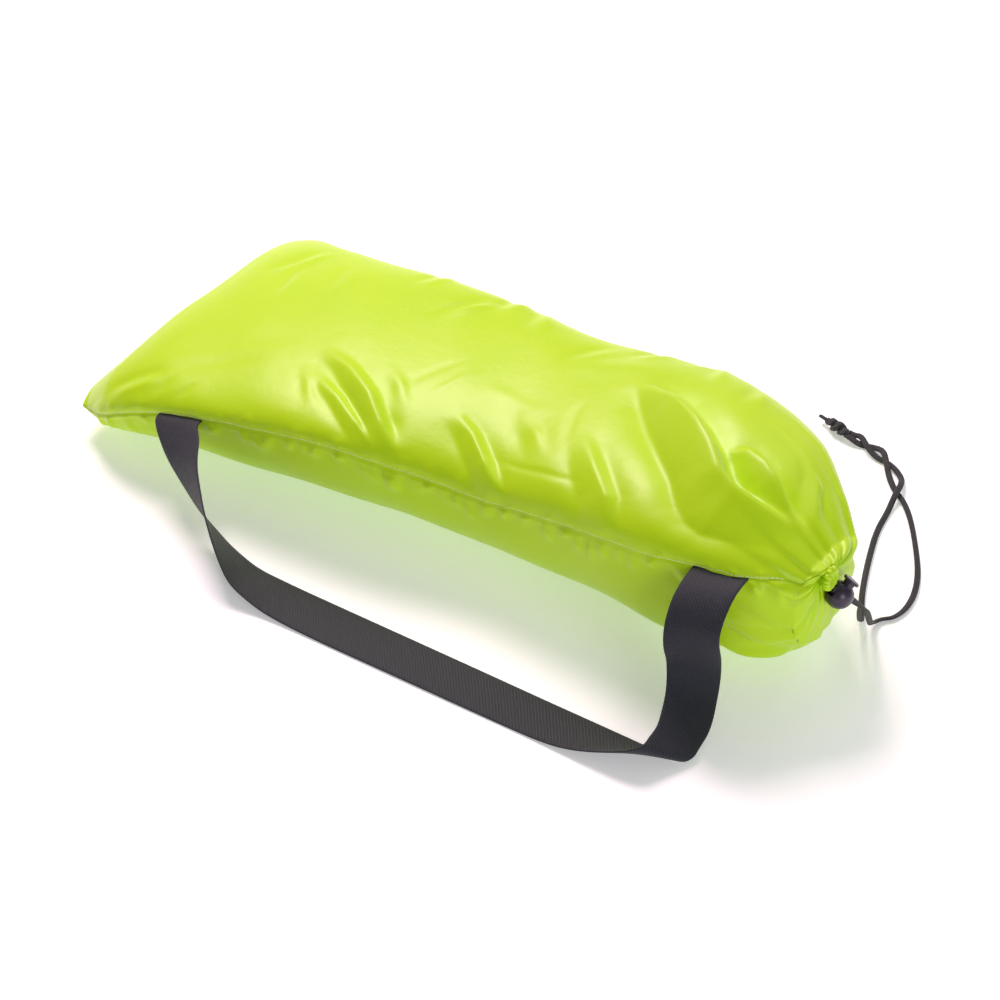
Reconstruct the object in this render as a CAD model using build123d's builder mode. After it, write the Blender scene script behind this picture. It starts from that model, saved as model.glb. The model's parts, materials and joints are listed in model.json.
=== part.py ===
from build123d import *

import os
from math import cos, pi, radians, sin, tan

# Packed drawstring carry bag of a towable tube, in millimetres.
# X runs from the sewn end (-X) to the gathered mouth (+X), the carry strap lies on the -Y
# side, +Z is up, and the origin is on the floor under the middle of the bag.

os.makedirs("parts", exist_ok=True)

# ---------------------------------------------------------------- driving dimensions
wall = 2.0  # one layer of bag cloth with its slack
cloth_gap = 0.3  # room between two layers

# Sections of the packed bag: x, y of the middle, half width, z of the top, seam and bottom
bag_sections = [
    (-286, 22, 127, 34, 24, 16),
    (-262, 15, 130, 63, 34, 6),
    (-205, 4, 119, 83, 56, -1),
    (-130, 3, 112, 98, 71, -1),
    (-50, 4, 105, 107, 80, -1),
    (40, 9, 98, 111, 76, -1),
    (120, 6, 98, 126, 88, -1),
    (190, -7, 92, 137, 99, -1),
    (240, -17, 77, 133, 101, 3),
    (276, -29, 58, 119, 94, 16),
    (298, -33, 40, 103, 82, 34),
]
section_angles = (0, 12, 35, 65, 90, 115, 145, 168, 180)  # where a section's points lie
crown_power = 0.8  # roundness of the upper half of a section
belly_power = 0.7  # roundness of the lower half

strap_width = 38.0  # carry strap webbing
strap_thickness = 1.6
strap_end_depth = 8.0  # webbing caught inside the seam
strap_stub = 5.0  # webbing that leaves the seam before it bends freely
strap_hinge_gap = 2.5  # room for the webbing to fold about the hinge line

cord_diameter = 3.4
cord_floor_height = cord_diameter / 2 + 0.1

hem_ring_radius = 6.0  # gathered casing around the drawcord
hem_tube_radius = 2.7
hem_channel_radius = 1.95
hem_centre = Vector(307.3, -43.9, 93)
neck_radius = 6.5  # gathered cloth behind the casing

lock_centre = Vector(311, -36.4, 76.3)
lock_cord_direction = Vector(0.315, 0.633, -0.704)
lock_plunger_direction = Vector(0.352, 0.612, 0.708)
lock_ball_radius = 9.75
lock_top_cut = 7.2
lock_bore_radius = 5.5
lock_bore_floor = -7.5
lock_hole_width = 7.8
lock_hole_height = 7.2
lock_travel = 3.4  # press of the plunger
plunger_clearance = 0.2
plunger_cap_radius = 6.0
plunger_cap_height = 2.2
plunger_neck_radius = 4.0
spring_wire_radius = 0.3
cord_lift = lock_travel / 2  # strands sit in the window left by the sprung plunger
strand_spacing = 3.8

lock_plane = Plane(
    origin=lock_centre, x_dir=lock_cord_direction, z_dir=lock_plunger_direction
)


# ---------------------------------------------------------------- shared shapes
def section_plane(x):
    """The upright plane across the bag at x, drawn in y and z."""
    return Plane(origin=(x, 0, 0), x_dir=(0, 1, 0), z_dir=(1, 0, 0))


def half_outline(section, inset, upper):
    """Points of the upper or lower half of a bag section, from the front seam to the back."""
    x, middle, half_width, top, seam, bottom = section
    power = crown_power if upper else belly_power
    height = (top - inset - seam) if upper else (bottom + inset - seam)
    points = []
    for angle in section_angles:
        turn = radians(angle)
        across = middle - (half_width - inset) * cos(turn)
        points.append((across, seam + height * abs(sin(turn)) ** power))
    points[-1] = (middle + half_width - inset, seam)
    return points


def section_at(x):
    """A bag section between the listed ones, by straight interpolation."""
    for low, high in zip(bag_sections, bag_sections[1:]):
        if low[0] <= x <= high[0]:
            share = (x - low[0]) / (high[0] - low[0])
            return tuple(a + (b - a) * share for a, b in zip(low, high))
    raise ValueError("x is outside the bag")


def panel(upper):
    """One panel of the bag as a shell between the two side seams."""
    with BuildPart() as shell:
        for section in bag_sections:
            with BuildSketch(section_plane(section[0])):
                with BuildLine():
                    outer = half_outline(section, 0, upper)
                    inner = half_outline(section, wall, upper)
                    Spline(*outer)
                    Line(outer[-1], inner[-1])
                    Spline(*reversed(inner))
                    Line(inner[0], outer[0])
                make_face()
        loft()
    return shell.part


def bundle(inset, x_from, x_to):
    """A packed roll that follows the bag at a given inset, with flat ends."""
    between = [section[0] for section in bag_sections if x_from < section[0] < x_to]
    with BuildPart() as roll:
        for x in [x_from, *between, x_to]:
            with BuildSketch(section_plane(x)):
                with BuildLine():
                    upper = half_outline(section_at(x), inset, True)
                    lower = half_outline(section_at(x), inset, False)
                    Spline(*upper)
                    Spline(*reversed(lower))
                make_face()
        loft()
    return roll.part


def ribbon(stations):
    """Webbing through stations of a centre and a width direction, as ruled spans."""
    centres = [Vector(*centre) for centre, across in stations]
    planes = []
    for index, (centre, across) in enumerate(stations):
        before = centres[max(index - 1, 0)]
        after = centres[min(index + 1, len(centres) - 1)]
        width = Vector(*across).normalized()
        along = after - before
        along = (along - width * along.dot(width)).normalized()
        planes.append(Plane(origin=centre, x_dir=width, z_dir=along))
    with BuildPart() as webbing:
        for start, end in zip(planes, planes[1:]):
            with BuildSketch(start):
                Rectangle(strap_width, strap_thickness)
            with BuildSketch(end):
                Rectangle(strap_width, strap_thickness)
            loft(ruled=True)
    return webbing.part


def cord(name, route):
    """A cord tube of straight runs and tangent arcs through a hand-chosen route."""
    points = [Vector(*point) for point in route]
    radii = []
    for index in range(1, len(points) - 1):
        run_in = points[index] - points[index - 1]
        run_out = points[index + 1] - points[index]
        turn = run_in.get_angle(run_out)
        shorter = min(run_in.length, run_out.length)
        radii.append(0.45 * shorter / tan(radians(turn / 2)))
    print(name, "radii", [round(radius, 1) for radius in radii])
    with BuildPart() as tube:
        with BuildLine():
            path = FilletPolyline(*points, radius=radii)
        with BuildSketch(Plane(origin=path @ 0, z_dir=path % 0)):
            Circle(cord_diameter / 2)
        sweep(path=path)
    print(name, "length", round(path.length, 1), "mm")
    tube_volume = pi * cord_diameter**2 / 4 * path.length
    print(name, "volume ratio", round(tube.part.volume / tube_volume, 3))
    return tube.part


# ---------------------------------------------------------------- strap ends in the seam
def seam_point(x):
    """A point of the front side seam."""
    section = section_at(x)
    return Vector(x, section[1] - section[2], section[4])


strap_left = -182.0  # middles of the two sewn places along the seam
strap_right = 252.0


def seam_direction(x):
    """The direction of the front seam around x."""
    half = strap_width / 2
    return (seam_point(x + half) - seam_point(x - half)).normalized()


def seam_outward(x):
    """Level and away from the bag, square to the front seam around x."""
    along = seam_direction(x)
    return (Vector(0, -1, 0) - along * along.dot(Vector(0, -1, 0))).normalized()


def seam_middle(x):
    """The middle of the chord of the seam under one strap end."""
    return (seam_point(x + strap_width / 2) + seam_point(x - strap_width / 2)) / 2


def strap_hinge(x):
    """The middle of the line where the webbing starts to bend freely."""
    return seam_middle(x) + seam_outward(x) * strap_stub


strap_axis = (strap_hinge(strap_right) - strap_hinge(strap_left)).normalized()


def strap_end(x):
    """The short end of webbing that is caught in the seam, and the stub that leaves it."""
    middle = seam_middle(x)
    along = seam_direction(x)
    outward = seam_outward(x)
    plate_plane = Plane(
        origin=middle - outward * (strap_end_depth / 2),
        x_dir=along,
        z_dir=along.cross(outward),
    )
    with BuildPart() as plate:
        with BuildSketch(plate_plane):
            Rectangle(strap_width, strap_end_depth)
        extrude(amount=strap_thickness / 2, both=True)
        add(ribbon([(middle, along), (strap_hinge(x), strap_axis)]))
    return plate.part


strap_end_left = strap_end(strap_left)
strap_end_left.label = "strap_end_left"
strap_end_right = strap_end(strap_right)
strap_end_right.label = "strap_end_right"

# ---------------------------------------------------------------- bag cloth
with BuildPart() as top_panel:
    add(panel(True))
    add(strap_end_left, mode=Mode.SUBTRACT)
    add(strap_end_right, mode=Mode.SUBTRACT)
top_panel.part.label = "top_panel"

with BuildPart() as bottom_panel:
    add(panel(False))
    add(strap_end_left, mode=Mode.SUBTRACT)
    add(strap_end_right, mode=Mode.SUBTRACT)
    split(bisect_by=Plane.XY, keep=Keep.TOP)
bottom_panel.part.label = "bottom_panel"

# The sewn end is closed by the seam allowance of both panels, turned to the inside.
with BuildPart() as end_seam:
    add(bundle(wall + 0.3, -286, -278))
end_seam.part.label = "end_seam"

# The mouth is closed by the gathered cloth inside the last section.
with BuildPart() as mouth_gather:
    add(bundle(wall + 0.5, 290, 298))
    with BuildSketch(Plane(origin=(297, hem_centre.Y, hem_centre.Z), z_dir=(1, 0, 0))):
        Circle(neck_radius)
    extrude(amount=hem_centre.X - hem_tube_radius - 0.1 - 297)
mouth_gather.part.label = "mouth_gather"

hem_plane = Plane(origin=hem_centre, x_dir=(0, 1, 0), z_dir=(1, 0, 0))
with BuildPart() as mouth_hem:
    with BuildSketch(Plane(origin=hem_centre, x_dir=(0, 1, 0), z_dir=(0, 0, 1))):
        with Locations((hem_ring_radius, 0)):
            Circle(hem_tube_radius)
            Circle(hem_channel_radius, mode=Mode.SUBTRACT)
    revolve(axis=Axis(hem_centre, (1, 0, 0)))
    with BuildSketch(lock_plane.offset(cord_lift)):
        with Locations((-lock_ball_radius - 2.2, 0)):
            Rectangle(4.4, 2 * strand_spacing + 0.6)
    extrude(amount=cord_diameter / 2 + 0.3, both=True, mode=Mode.SUBTRACT)
mouth_hem.part.label = "mouth_hem"

with BuildPart() as drawcord_ring:
    with BuildSketch(Plane(origin=hem_centre, x_dir=(0, 1, 0), z_dir=(0, 0, 1))):
        with Locations((hem_ring_radius, 0)):
            Circle(cord_diameter / 2)
    revolve(axis=Axis(hem_centre, (1, 0, 0)))
drawcord_ring.part.label = "drawcord_ring"

# ---------------------------------------------------------------- carry strap
# Left drop with its half twist, then the run on the floor up to the folded corner.
strap_rest = strap_thickness / 2 + 0.1
strap_start = strap_hinge(strap_left) + seam_outward(strap_left) * strap_hinge_gap
strap_start_level = strap_start + seam_outward(strap_left) * 3
strap_finish = strap_hinge(strap_right) + seam_outward(strap_right) * strap_hinge_gap
strap_finish_level = strap_finish + seam_outward(strap_right) * 2
strap_run = [
    (strap_start, strap_axis),
    (strap_start_level, strap_axis),
    ((-174, -128, 56), (34, 2, 12)),
    ((-161, -139, 53), (31, -4, 18)),
    ((-152, -146, 47), (28, -10, 21)),
    ((-139, -154, 40), (24, -16, 23)),
    ((-123, -163, 31), (21, -22, 23)),
    ((-102, -171, 20), (12, -29, 21)),
    ((-88, -177, 14), (5, -34, 19)),
    ((-77, -179, 9), (2, -36, 12)),
    ((-61, -179.5, 5), (-1, -37, 8)),
    ((-40, -179.5, 2), (-1, -38, 2.5)),
    ((-15, -179.5, strap_rest), (0, -1, 0)),
    ((180, -179.5, strap_rest), (0, -1, 0)),
    ((212, -179, 3.4), (0, -1, 0.15)),
    ((236, -176, 8.5), (-0.1, -0.92, 0.42)),
    ((262, -174, 11), (-0.5, -0.6, 0.4)),
]
# Corner, floor stretch and right drop up to the front seam.
strap_drop = [
    ((262, -176, 12.4), (-0.7, -0.55, 0.45)),
    ((262.5, -160, 11.0), (-0.7, -0.55, 0.42)),
    ((261.5, -147, 12.2), (-0.7, -0.6, 0.40)),
    ((258, -136, 17), (-0.7, -0.6, 0.35)),
    ((254, -126, 27), (-0.75, -0.6, 0.25)),
    ((250, -120.5, 41), (-0.8, -0.5, 0.15)),
    ((250.5, -123, 56), (-0.9, -0.3, 0.05)),
    ((253, -128, 71), (-1, -0.05, 0)),
    ((254, -123, 86), (-1, 0.0, 0)),
    ((253.5, -111, 96), (-1, -0.05, 0.05)),
    (strap_finish_level, -strap_axis),
    (strap_finish, -strap_axis),
]

with BuildPart() as carry_strap:
    add(ribbon(strap_run))
    add(ribbon(strap_drop))
carry_strap.part.label = "carry_strap"


def stitch_patch(x):
    """A box of lock stitches just inside the seam, under one strap end."""
    along = seam_direction(x)
    outward = seam_outward(x)
    normal = along.cross(outward)
    origin = seam_middle(x) - outward * (strap_end_depth / 2 + 1) - normal * stitch_side
    with BuildPart() as stitches:
        with BuildSketch(Plane(origin=origin, x_dir=along, z_dir=normal)):
            Rectangle(strap_width - 4, strap_end_depth - 3)
            Rectangle(strap_width - 5.4, strap_end_depth - 4.4, mode=Mode.SUBTRACT)
        extrude(amount=0.3, both=True)
        add(top_panel.part, mode=Mode.SUBTRACT)
        add(bottom_panel.part, mode=Mode.SUBTRACT)
    return stitches.part


stitch_side = strap_thickness / 2 + 0.35
strap_stitching_left = stitch_patch(strap_left)
strap_stitching_left.label = "strap_stitching_left"
strap_stitching_right = stitch_patch(strap_right)
strap_stitching_right.label = "strap_stitching_right"

# ---------------------------------------------------------------- cord lock
with BuildPart() as lock_barrel:
    with BuildSketch(Plane(lock_plane.origin, x_dir=lock_plane.x_dir, z_dir=-lock_plane.y_dir)):
        with BuildLine():
            JernArc((0, -lock_ball_radius), (1, 0), lock_ball_radius, 180)
            Line((0, lock_ball_radius), (0, -lock_ball_radius))
        make_face()
    revolve(axis=Axis(lock_plane.origin, lock_plane.z_dir))
    split(bisect_by=lock_plane.offset(lock_top_cut), keep=Keep.BOTTOM)
    with BuildSketch(lock_plane.offset(lock_bore_floor)):
        Circle(lock_bore_radius)
    extrude(amount=lock_top_cut - lock_bore_floor + 2, mode=Mode.SUBTRACT)
    with BuildSketch(Plane(lock_plane.origin, x_dir=lock_plane.y_dir, z_dir=lock_plane.x_dir)):
        RectangleRounded(lock_hole_width, lock_hole_height, 2.4)
    extrude(amount=2 * lock_ball_radius, both=True, mode=Mode.SUBTRACT)
lock_barrel.part.label = "lock_barrel"

plunger_bottom = -lock_hole_height / 2 + lock_travel - 1.4
plunger_shoulder = lock_hole_height / 2 + lock_travel + 1.0
cap_bottom = lock_top_cut + lock_travel + 0.3
with BuildPart() as lock_plunger:
    with BuildSketch(lock_plane.offset(plunger_bottom)):
        Circle(lock_bore_radius - plunger_clearance)
    extrude(amount=plunger_shoulder - plunger_bottom)
    with BuildSketch(lock_plane.offset(plunger_shoulder)):
        Circle(plunger_neck_radius)
    extrude(amount=cap_bottom - plunger_shoulder)
    with BuildSketch(lock_plane.offset(cap_bottom)):
        Circle(plunger_cap_radius)
    extrude(amount=plunger_cap_height)
    cap_edges = lock_plunger.edges().filter_by(GeomType.CIRCLE)
    fillet(cap_edges.sort_by(SortBy.RADIUS)[-2:], 0.9)
    hole_middle = lock_plane.offset(lock_travel).origin
    with BuildSketch(Plane(hole_middle, x_dir=lock_plane.y_dir, z_dir=lock_plane.x_dir)):
        RectangleRounded(lock_hole_width, lock_hole_height, 2.4)
    extrude(amount=2 * lock_ball_radius, both=True, mode=Mode.SUBTRACT)
lock_plunger.part.label = "lock_plunger"

# The return spring is drawn fully pressed, so that it stays clear of the plunger.
spring_turns = 2
spring_height = plunger_bottom - lock_travel - lock_bore_floor - 2 * spring_wire_radius - 0.1
spring_plane = lock_plane.offset(lock_bore_floor + spring_wire_radius + 0.05)
with BuildPart() as lock_spring:
    with BuildLine():
        coil = Helix(
            pitch=spring_height / spring_turns,
            height=spring_height,
            radius=3.4,
            center=spring_plane.origin,
            direction=spring_plane.z_dir,
        )
    with BuildSketch(Plane(origin=coil @ 0, z_dir=coil % 0)):
        Circle(spring_wire_radius)
    sweep(path=coil)
lock_spring.part.label = "lock_spring"

# ---------------------------------------------------------------- drawcord
straight = 27.0  # straight strand beyond the ball's middle, for the lock to slide on
strand_lead = 0.9  # strand between the gathered casing and the ball
lift = lock_plane.z_dir * cord_lift
sideways = lock_plane.y_dir * (strand_spacing / 2)
strand_start = lock_plane.origin + lift - lock_plane.x_dir * (lock_ball_radius + strand_lead)
strand_bend = lock_plane.origin + lift + lock_plane.x_dir * straight
low = cord_floor_height
over = cord_floor_height + cord_diameter + 0.5
knot_start = Vector(181, 205.4, 5.7)
knot_direction = Vector(-0.96, 0.28, 0).normalized()
knot_across = Vector(0.28, 0.96, 0).normalized()
knot_length = 20.0
knot_radius = 5.6

# Strand a is the inner side of the loop, strand b the outer side.
route_a = [
    tuple(strand_start + sideways),
    tuple(strand_bend + sideways),
    (308, 0, 35),
    (301, 16, 13),
    (293.5, 32, low),
    (283, 50, low),
    (273, 72, low),
    (263, 97, low),
    (254, 122, low),
    (249.5, 146, low),
    (246.5, 160, over),
    (244, 174, over),
    (238, 186, low),
    (224, 195.5, low),
    (211, 196, low),
    (200, 200.5, over),
    (191, 208.5, over),
    tuple(knot_start - knot_direction * 4.5 + knot_across * 1.9),
    tuple(knot_start + knot_across * 1.9),
]
route_b = [
    tuple(strand_start - sideways),
    tuple(strand_bend - sideways),
    (314.5, 0, 36),
    (309, 15, 16),
    (303.5, 28, 4),
    (305, 38.5, low),
    (311.5, 44, low),
    (314, 57, low),
    (311, 75, low),
    (302, 96, low),
    (286, 121, low),
    (268, 146, low),
    (254, 161.5, low),
    (241, 170, low),
    (229, 182.5, low),
    (221.5, 192, over),
    (213.5, 202, over),
    (204, 206.5, low),
    (194, 203, low),
    tuple(knot_start - knot_direction * 4.5 - knot_across * 1.9),
    tuple(knot_start - knot_across * 1.9),
]
drawcord_strand_a = cord("drawcord_strand_a", route_a)
drawcord_strand_a.label = "drawcord_strand_a"
drawcord_strand_b = cord("drawcord_strand_b", route_b)
drawcord_strand_b.label = "drawcord_strand_b"

with BuildPart() as drawcord_knot:
    with BuildSketch(Plane(origin=knot_start, x_dir=knot_direction, z_dir=(0, 0, 1))):
        with BuildLine():
            Line((0, 0), (0, 4.2))
            Spline((0, 4.2), (knot_length * 0.3, knot_radius), (knot_length * 0.7, 4.6), (knot_length, 2))
            Polyline((knot_length, 2), (knot_length, 0), (0, 0))
        make_face()
    revolve(axis=Axis(knot_start, knot_direction))
drawcord_knot.part.label = "drawcord_knot"

tail_start = knot_start + knot_direction * (knot_length + 0.8)
with BuildPart() as drawcord_tail:
    with BuildSketch(Plane(origin=tail_start, z_dir=knot_direction + Vector(0, 0.2, -0.35))):
        Circle(cord_diameter / 2 - 0.2)
    extrude(amount=6.5)
drawcord_tail.part.label = "drawcord_tail"

# ---------------------------------------------------------------- packed tube inside
cover_inset = wall + 7.5
cover_wall = 3.0
bladder_inset = cover_inset + cover_wall + cloth_gap
pack_from = -240
pack_to = 258

with BuildPart() as valve_base:
    with BuildSketch(Plane.XY.offset(52)):
        with Locations((60, 6)):
            Circle(27)
    extrude(amount=3)
    with BuildSketch(Plane.XY.offset(55)):
        with Locations((60, 6)):
            Circle(17)
            Circle(11, mode=Mode.SUBTRACT)
    extrude(amount=12)
valve_base.part.label = "valve_base"

with BuildPart() as valve_cap:
    with BuildSketch(Plane.XY.offset(67.3)):
        with Locations((60, 6)):
            Circle(19)
    extrude(amount=4)
    with BuildSketch(Plane.XY.offset(58)):
        with Locations((60, 6)):
            Circle(10.6)
    extrude(amount=9.3)
valve_cap.part.label = "valve_cap"

with BuildPart() as tow_connector:
    with BuildSketch(Plane.XY.offset(50)):
        with Locations((150, 0)):
            SlotOverall(90, 44)
            with Locations((22, 0)):
                Circle(9, mode=Mode.SUBTRACT)
            with Locations((-24, 0)):
                Rectangle(7, 32, mode=Mode.SUBTRACT)
    extrude(amount=8)
    fillet(tow_connector.edges().filter_by(GeomType.CIRCLE), 1.2)
tow_connector.part.label = "tow_connector"

with BuildPart() as tow_webbing:
    with BuildSketch(Plane.XY.offset(59)):
        with Locations((112, 0)):
            Rectangle(38, 30)
    extrude(amount=2)
    with BuildSketch(Plane.XY.offset(47)):
        with Locations((112, 0)):
            Rectangle(38, 30)
    extrude(amount=2)
    with BuildSketch(Plane.XY.offset(47)):
        with Locations((126, 0)):
            Rectangle(5, 30)
    extrude(amount=14)
tow_webbing.part.label = "tow_webbing"

handle_places = {"front": -45, "back": 50}
handle_length = 120.0
grab_handles = {}
handle_grips = {}
for place, across in handle_places.items():
    axis_plane = Plane(origin=(-90 - handle_length / 2, across, 52), z_dir=(1, 0, 0))
    with BuildPart() as grip:
        with BuildSketch(axis_plane):
            Circle(14)
            Rectangle(3, 26.4, mode=Mode.SUBTRACT)
        extrude(amount=handle_length)
    grip.part.label = "handle_grip_" + place
    handle_grips[place] = grip.part
    with BuildPart() as handle:
        with BuildSketch(axis_plane.offset(-25)):
            Rectangle(2.4, 25)
        extrude(amount=handle_length + 50)
    handle.part.label = "grab_handle_" + place
    grab_handles[place] = handle.part

with BuildPart() as tube_cover:
    add(bundle(cover_inset, pack_from, pack_to))
    add(bundle(cover_inset + cover_wall, pack_from, pack_to), mode=Mode.SUBTRACT)
tube_cover.part.label = "tube_cover"

with BuildPart() as tube_bladder:
    add(bundle(bladder_inset, pack_from, pack_to))
    with BuildSketch(Plane.XY.offset(50)):
        with Locations((60, 6)):
            Circle(29)
    extrude(amount=24, mode=Mode.SUBTRACT)
    with BuildSketch(Plane.XY.offset(45)):
        with Locations((143, 0)):
            Rectangle(110, 50)
    extrude(amount=18, mode=Mode.SUBTRACT)
    for across in handle_places.values():
        with Locations((-90, across, 52)):
            Box(handle_length + 54, 30, 30, mode=Mode.SUBTRACT)
tube_bladder.part.label = "tube_bladder"

# ---------------------------------------------------------------- files
pieces = [
    top_panel.part,
    bottom_panel.part,
    end_seam.part,
    mouth_gather.part,
    mouth_hem.part,
    drawcord_ring.part,
    strap_end_left,
    strap_end_right,
    strap_stitching_left,
    strap_stitching_right,
    carry_strap.part,
    lock_barrel.part,
    lock_plunger.part,
    lock_spring.part,
    drawcord_strand_a,
    drawcord_strand_b,
    drawcord_knot.part,
    drawcord_tail.part,
    tube_cover.part,
    tube_bladder.part,
    valve_base.part,
    valve_cap.part,
    tow_connector.part,
    tow_webbing.part,
    *handle_grips.values(),
    *grab_handles.values(),
]
for piece in pieces:
    export_step(piece, "parts/" + piece.label + ".step")
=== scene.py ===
"""Looks of a packed drawstring carry bag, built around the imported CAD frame.

The scene and the cords are in metres, and the cloth and the strap are shaped in millimetres.
"""

from math import cos, pi, radians, sin

import json

import bpy
import numpy as np
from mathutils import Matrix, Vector


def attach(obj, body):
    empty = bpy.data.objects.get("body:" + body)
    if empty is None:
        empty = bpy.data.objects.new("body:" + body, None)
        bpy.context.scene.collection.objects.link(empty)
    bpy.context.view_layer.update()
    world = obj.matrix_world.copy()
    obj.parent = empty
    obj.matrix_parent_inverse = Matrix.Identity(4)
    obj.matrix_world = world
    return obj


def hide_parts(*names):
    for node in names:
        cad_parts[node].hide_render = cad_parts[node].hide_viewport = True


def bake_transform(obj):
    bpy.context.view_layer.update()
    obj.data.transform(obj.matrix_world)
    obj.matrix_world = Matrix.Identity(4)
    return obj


MM = 0.001
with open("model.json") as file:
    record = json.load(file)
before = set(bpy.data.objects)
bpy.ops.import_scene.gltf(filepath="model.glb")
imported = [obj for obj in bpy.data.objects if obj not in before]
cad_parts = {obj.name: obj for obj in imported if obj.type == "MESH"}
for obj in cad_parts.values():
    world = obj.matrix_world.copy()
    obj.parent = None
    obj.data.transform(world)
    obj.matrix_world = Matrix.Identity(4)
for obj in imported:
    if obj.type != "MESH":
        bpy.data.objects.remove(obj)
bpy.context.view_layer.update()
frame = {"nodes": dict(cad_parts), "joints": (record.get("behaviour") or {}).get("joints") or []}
scene = bpy.context.scene

# ---------------------------------------------------------------- camera, light, floor
AZIMUTH, ELEVATION, DISTANCE = radians(34.7), radians(37.6), 2.436
TARGET = Vector((0.0433, -0.041, 0.040))


def aimed(name, data, place, target):
    """An object at a place that looks at a target, turned level."""
    made = bpy.data.objects.new(name, data)
    scene.collection.objects.link(made)
    made.location = place
    made.rotation_euler = (Vector(target) - Vector(place)).to_track_quat("-Z", "Y").to_euler()
    return made


def direction(azimuth, elevation):
    """The direction towards a light or camera, from angles in radians."""
    flat = cos(elevation)
    return Vector((sin(azimuth) * flat, -cos(azimuth) * flat, sin(elevation)))


camera_data = bpy.data.cameras.new("camera")
camera_data.lens = 126.0
camera_data.sensor_width = 36.0
camera_data.clip_start = 0.05
scene.camera = aimed("camera", camera_data, TARGET + direction(AZIMUTH, ELEVATION) * DISTANCE, TARGET)


def area_light(name, azimuth, elevation, distance, size, energy, colour):
    """A soft square light around the object, by angles in degrees."""
    data = bpy.data.lights.new(name, "AREA")
    data.shape = "SQUARE"
    data.size = size
    data.energy = energy
    data.color = colour
    place = TARGET + direction(radians(azimuth), radians(elevation)) * distance
    return aimed(name, data, place, TARGET)


area_light("key", -128, 52, 2.4, 1.0, 64, (1.0, 0.78, 0.84))
area_light("back", 175, 42, 2.8, 1.5, 12, (0.97, 0.98, 1.0))
area_light("fill", 60, 16, 2.2, 0.8, 12, (0.96, 0.95, 1.0))

world = bpy.data.worlds.new("studio")
scene.world = world
world.use_nodes = True
world.node_tree.nodes["Background"].inputs["Color"].default_value = (1, 1, 1, 1)
world.node_tree.nodes["Background"].inputs["Strength"].default_value = 0.25
scene.view_settings.view_transform = "Standard"


# ---------------------------------------------------------------- materials
class Nodes:
    """A short way to build a node material."""

    def __init__(self, name, colour, roughness, **sockets):
        self.material = bpy.data.materials.new(name)
        self.material.use_nodes = True
        self.tree = self.material.node_tree
        self.shader = self.tree.nodes["Principled BSDF"]
        self.shader.inputs["Base Color"].default_value = (*colour, 1)
        self.shader.inputs["Roughness"].default_value = roughness
        for socket, value in sockets.items():
            self.shader.inputs[socket.replace("_", " ")].default_value = value

    def node(self, kind, **values):
        made = self.tree.nodes.new(kind)
        for key, value in values.items():
            if hasattr(made, key):
                setattr(made, key, value)
            else:
                made.inputs[key].default_value = value
        return made

    def link(self, source, target):
        self.tree.links.new(source, target)

    def noise(self, scale, detail=3.0, rough=0.55, vector=None):
        made = self.node("ShaderNodeTexNoise", Scale=scale, Detail=detail, Roughness=rough)
        self.link(vector or self.coordinates(), made.inputs["Vector"])
        return made.outputs["Fac"]

    def coordinates(self, output="Object"):
        return self.node("ShaderNodeTexCoord").outputs[output]

    def uv(self):
        return self.node("ShaderNodeUVMap", uv_map="cloth").outputs["UV"]

    def waves(self, vector, scale, axis, profile="SIN", distortion=0.0):
        made = self.node("ShaderNodeTexWave", Scale=scale, Distortion=distortion)
        made.bands_direction = axis
        made.wave_profile = profile
        self.link(vector, made.inputs["Vector"])
        return made.outputs["Fac"]

    def ramp(self, factor, *stops):
        made = self.node("ShaderNodeValToRGB")
        while len(made.color_ramp.elements) < len(stops):
            made.color_ramp.elements.new(0.5)
        for element, (place, colour) in zip(made.color_ramp.elements, stops):
            element.position = place
            element.color = (*colour, 1)
        self.link(factor, made.inputs["Fac"])
        return made.outputs["Color"]

    def maths(self, operation, a, b):
        made = self.node("ShaderNodeMath", operation=operation)
        for socket, value in zip(made.inputs, (a, b)):
            if isinstance(value, (int, float)):
                socket.default_value = value
            else:
                self.link(value, socket)
        return made.outputs[0]

    def bump(self, height, strength, distance):
        made = self.node("ShaderNodeBump", Strength=strength, Distance=distance)
        self.link(height, made.inputs["Height"])
        self.link(made.outputs["Normal"], self.shader.inputs["Normal"])

    def colour(self, output):
        self.link(output, self.shader.inputs["Base Color"])

    def roughness(self, factor, low, high):
        made = self.node("ShaderNodeMapRange")
        made.inputs["To Min"].default_value = low
        made.inputs["To Max"].default_value = high
        self.link(factor, made.inputs["Value"])
        self.link(made.outputs["Result"], self.shader.inputs["Roughness"])


def nylon(name, deep, mid, pale):
    """Thin satin nylon: a fine plain weave, slight shifts of tone and soft crumples."""
    made = Nodes(name, mid, 0.42, Sheen_Weight=0.12, Sheen_Roughness=0.4)
    made.shader.inputs["Specular IOR Level"].default_value = 0.38
    made.shader.inputs["Sheen Tint"].default_value = (1.0, 1.0, 0.8, 1)
    tone = made.noise(9.0, 4.0)
    made.colour(made.ramp(tone, (0.3, deep), (0.55, mid), (0.8, pale)))
    made.roughness(made.noise(38.0, 3.0), 0.36, 0.46)
    place = made.coordinates()
    warp = made.waves(place, 420.0, "X")
    weft = made.waves(place, 420.0, "Y")
    weave = made.maths("MULTIPLY", made.maths("ADD", warp, weft), 0.035)
    crumple = made.maths("MULTIPLY", made.noise(70.0, 4.0, 0.6), 1.0)
    made.bump(made.maths("ADD", weave, crumple), 0.35, 0.0011)
    return made.material


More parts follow.
